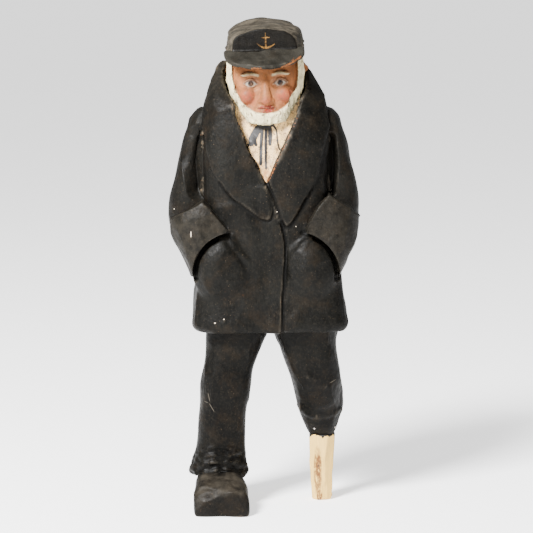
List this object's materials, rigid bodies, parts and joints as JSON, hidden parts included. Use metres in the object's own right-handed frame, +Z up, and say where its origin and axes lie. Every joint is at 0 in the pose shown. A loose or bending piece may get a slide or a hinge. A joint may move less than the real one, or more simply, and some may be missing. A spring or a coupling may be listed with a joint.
{
  "type": "carved wooden figurine",
  "caption": "Carved and painted wooden figurine of a standing old seaman in cap and coat, hands in his pockets, with one shod foot and one wooden peg leg.",
  "frame": {"origin": "on the ground, under the middle of the figure's bounding box", "axes": "+Z up along the standing figure, the figure faces -Y, its own left side is at +X"},
  "size_m": [0.08, 0.0525, 0.2036],
  "materials": {
    "coat_paint": "charcoal black paint brushed on carved softwood, worn to a dusty grey-brown on the edges, satin",
    "shirt_paint": "thin cream paint over carved softwood, with brushed black ribbon tie, matte",
    "face_paint": "flesh paint with blush and a thick off-white beard over carved softwood, satin",
    "cap_paint": "charcoal black paint, worn edges, with a plain ochre anchor, satin",
    "trouser_paint": "brown-black paint on knife-cut softwood, satin",
    "shoe_paint": "black paint, dusty and scuffed, satin",
    "bare_wood": "bare whittled softwood with a knot streak, matte",
    "dowel_wood": "plain birch dowel, matte",
    "brad_steel": "bare steel wire brads"
  },
  "bodies": {
    "root": {"coat_body": "coat_paint", "shirt_front": "shirt_paint", "right_upper_sleeve": "coat_paint", "left_upper_sleeve": "coat_paint", "right_forearm": "coat_paint", "left_forearm": "coat_paint", "head": "face_paint", "cap": "cap_paint", "cap_visor": "cap_paint", "right_trouser_leg": "trouser_paint", "left_trouser_leg": "trouser_paint", "right_shoe": "shoe_paint", "peg": "bare_wood", "neck_dowel": "dowel_wood", "cap_dowel": "dowel_wood", "right_shoulder_dowel": "dowel_wood", "left_shoulder_dowel": "dowel_wood", "right_forearm_dowel": "dowel_wood", "left_forearm_dowel": "dowel_wood", "right_hip_dowel": "dowel_wood", "left_hip_dowel": "dowel_wood", "ankle_dowel": "dowel_wood", "peg_brads": "brad_steel"}
  },
  "joints": []
}
